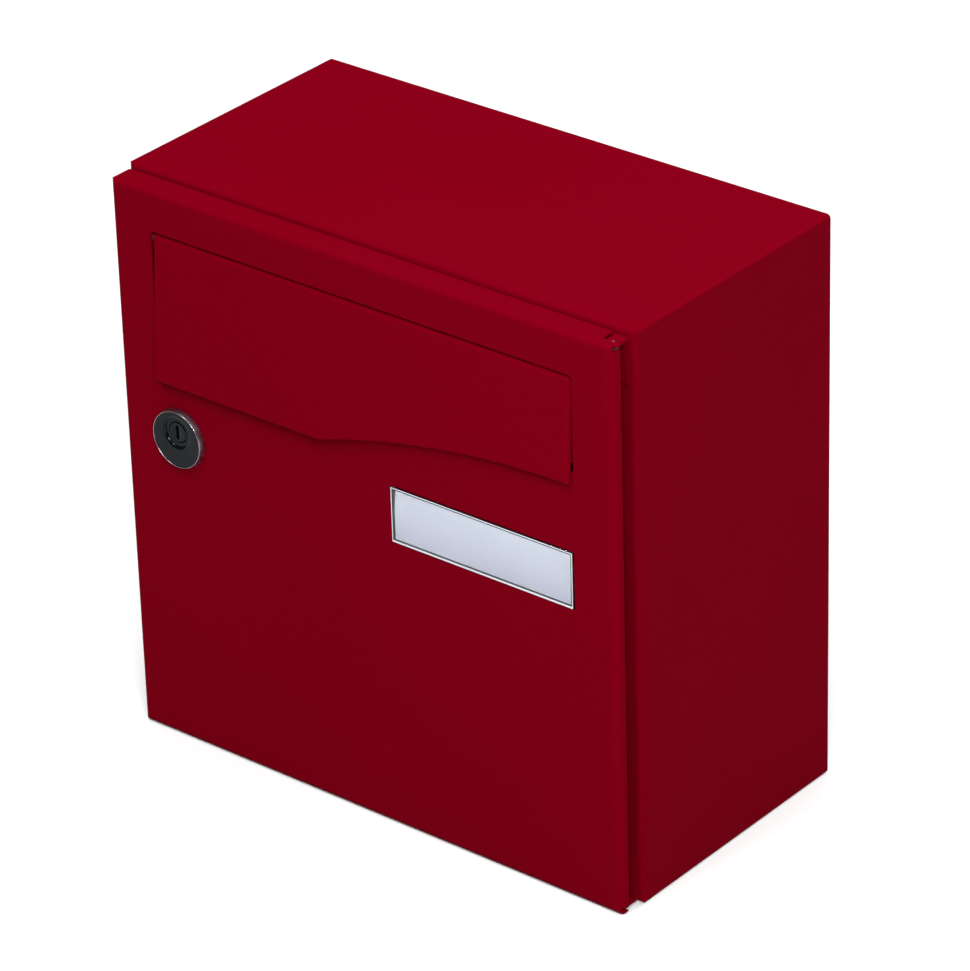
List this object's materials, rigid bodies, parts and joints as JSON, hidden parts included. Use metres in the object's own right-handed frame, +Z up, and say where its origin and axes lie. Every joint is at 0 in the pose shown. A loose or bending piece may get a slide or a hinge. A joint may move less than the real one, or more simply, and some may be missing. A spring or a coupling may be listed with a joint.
{
  "type": "letter box",
  "caption": "Wall letter box of folded sheet steel with a hinged, locking door, a lifting letter flap with a curved lower edge and a clear name holder.",
  "frame": {"origin": "centre of the four wall holes, on the casing's back face", "axes": "+Y into the wall, so the door faces -Y; +Z up; +X to the right seen from the front"},
  "size_m": [0.292, 0.1603, 0.29],
  "materials": {
    "red_paint": "satin powder coat",
    "zinc_steel": "zinc plated",
    "lock_zinc": "die cast zinc",
    "chrome_rim": "polished",
    "black_gloss": "gloss",
    "black_plastic": "moulded",
    "black_rubber": "matt",
    "nylon": "moulded",
    "clear_window": "clear moulded plastic",
    "name_card": "smooth white card"
  },
  "bodies": {
    "shell": {"casing": "red_paint", "back_panel": "red_paint", "hinge_bracket_upper": "red_paint", "hinge_bracket_lower": "red_paint", "hinge_pin_upper": "zinc_steel", "hinge_pin_lower": "zinc_steel", "bracket_rivets": "red_paint", "door_buffers": "black_rubber"},
    "door": {"door_panel": "red_paint", "hinge_leaf_upper": "red_paint", "hinge_leaf_lower": "red_paint", "hinge_bush_upper": "nylon", "hinge_bush_lower": "nylon", "flap_bracket_left": "red_paint", "flap_bracket_right": "red_paint", "flap_rod": "zinc_steel", "lock_barrel": "lock_zinc", "lock_rim": "chrome_rim", "lock_cap": "black_gloss", "lock_fork": "zinc_steel", "name_window": "clear_window", "name_card": "name_card", "name_carrier": "black_plastic"},
    "flap": {"letter_flap": "red_paint"},
    "lock_core": {"lock_plug": "black_gloss", "lock_cam": "zinc_steel", "cam_washer": "zinc_steel", "cam_screw": "zinc_steel"}
  },
  "joints": [
    {"name": "door_swing", "type": "hinge", "parent": "shell", "child": "door", "pos_m": [0.139, -0.1495, 0], "axis": [0, 0, 1], "range_deg": [0, 100]},
    {"name": "flap_lift", "type": "hinge", "parent": "door", "child": "flap", "pos_m": [0, -0.1525, 0.118], "axis": [-1, 0, 0], "range_deg": [0, 80]},
    {"name": "lock_turn", "type": "hinge", "parent": "door", "child": "lock_core", "pos_m": [-0.11, -0.15, 0.0229], "axis": [0, 1, 0], "range_deg": [0, 90]}
  ]
}
